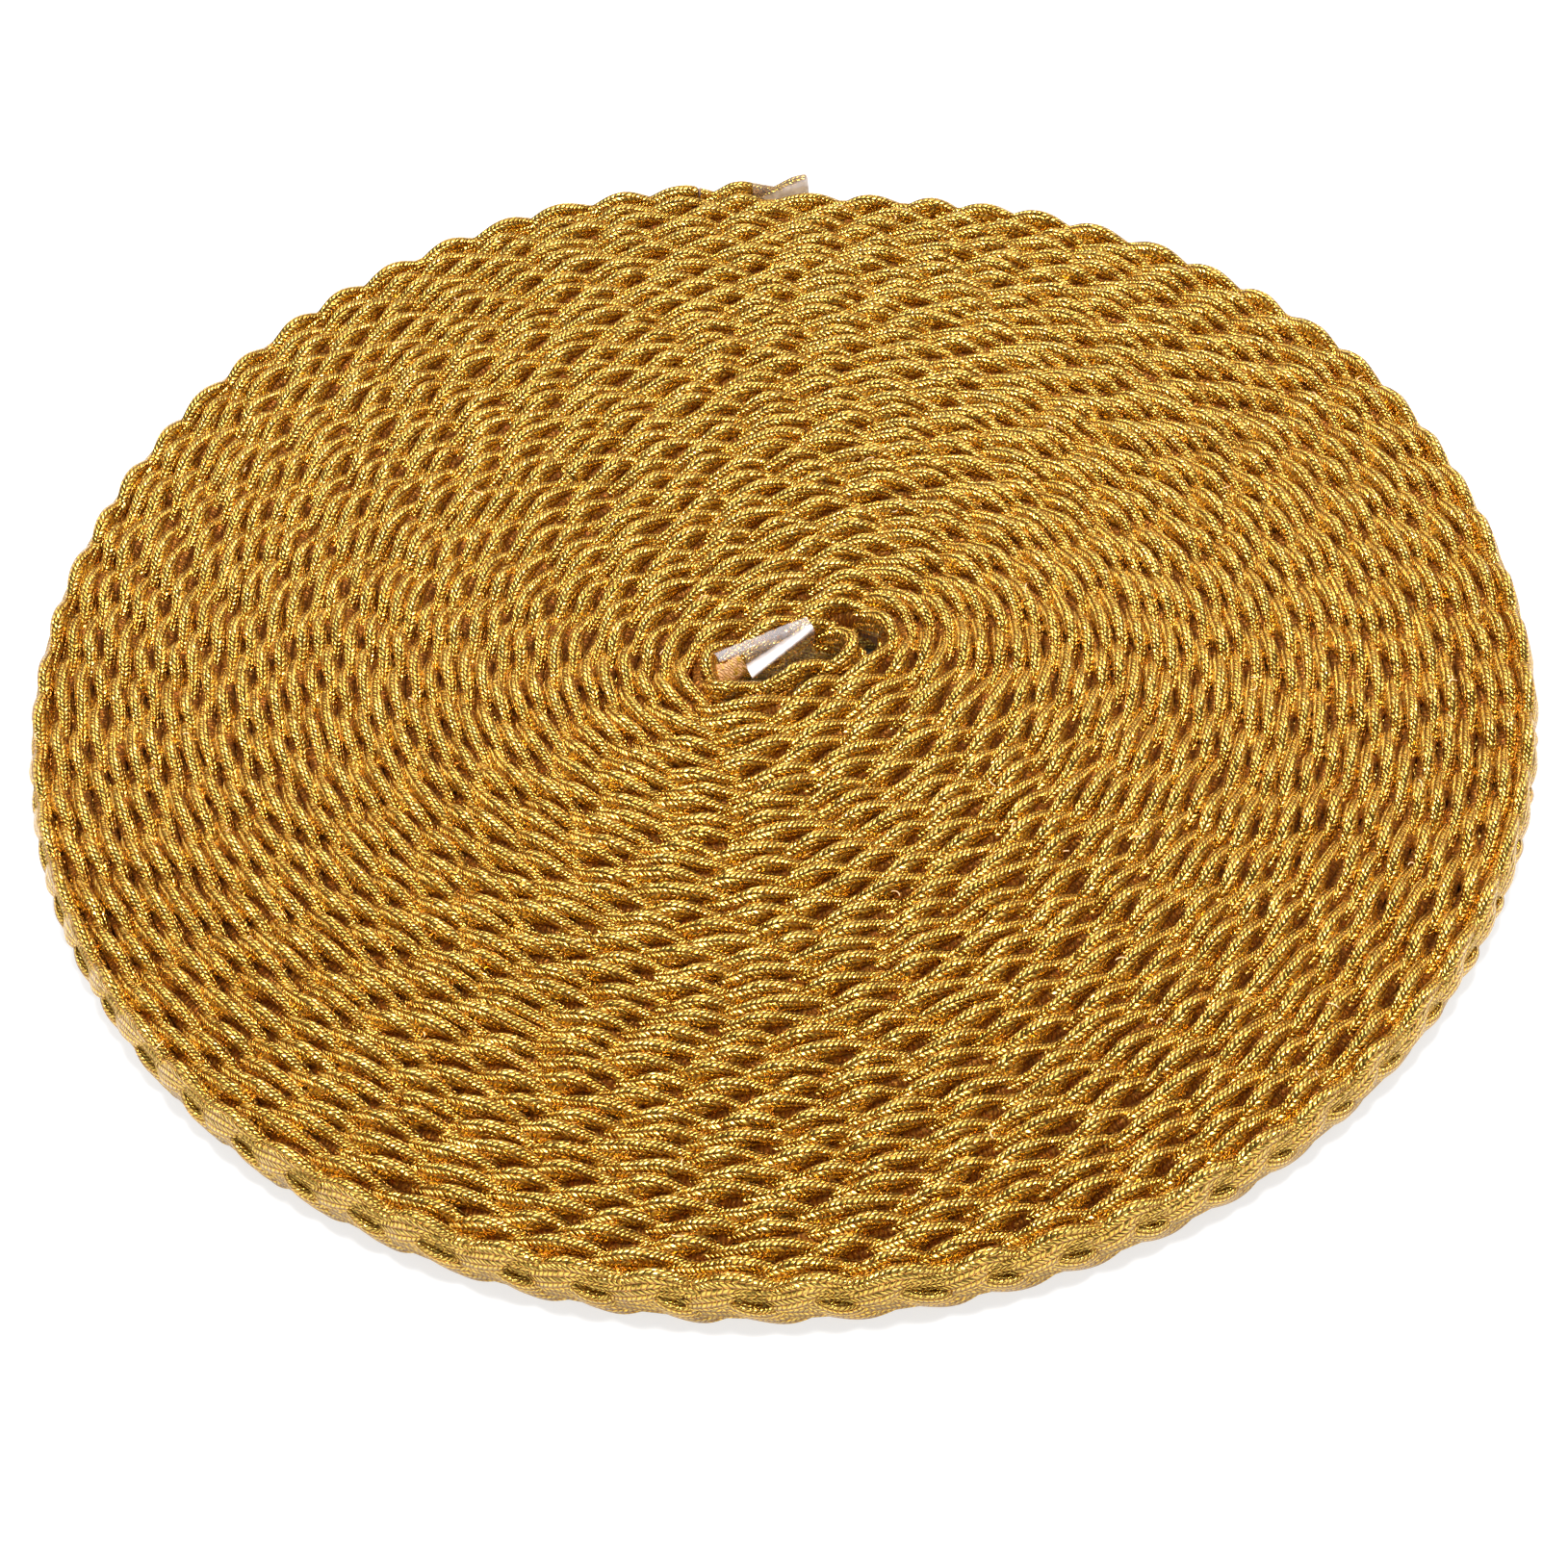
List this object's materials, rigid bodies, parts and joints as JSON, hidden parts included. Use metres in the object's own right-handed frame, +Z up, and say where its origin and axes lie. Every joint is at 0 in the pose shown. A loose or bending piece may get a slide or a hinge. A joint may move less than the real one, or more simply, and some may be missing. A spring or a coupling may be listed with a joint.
{
  "type": "roll of gold braid trim",
  "caption": "Flat plaited metallic gold braid trim, wound on edge into a round flat roll, with clear tape on both cut ends.",
  "frame": {"origin": "centre of the part's footprint, on the surface that the roll lies on", "axes": "+Z up through the flat roll, which is its thin direction; +Y towards the loose end; +X to the right seen with the loose end at the back"},
  "size_m": [0.22, 0.2228, 0.0101],
  "materials": {
    "gold_braid": "plaited metallic gold thread with a bright broken glint and brown shaded sides",
    "clear_tape": "clear adhesive tape, glossy and slightly milky"
  },
  "bodies": {
    "root": {"braid_roll": "gold_braid", "loose_end": "gold_braid", "core_tape": "clear_tape", "end_tape": "clear_tape"}
  },
  "joints": []
}
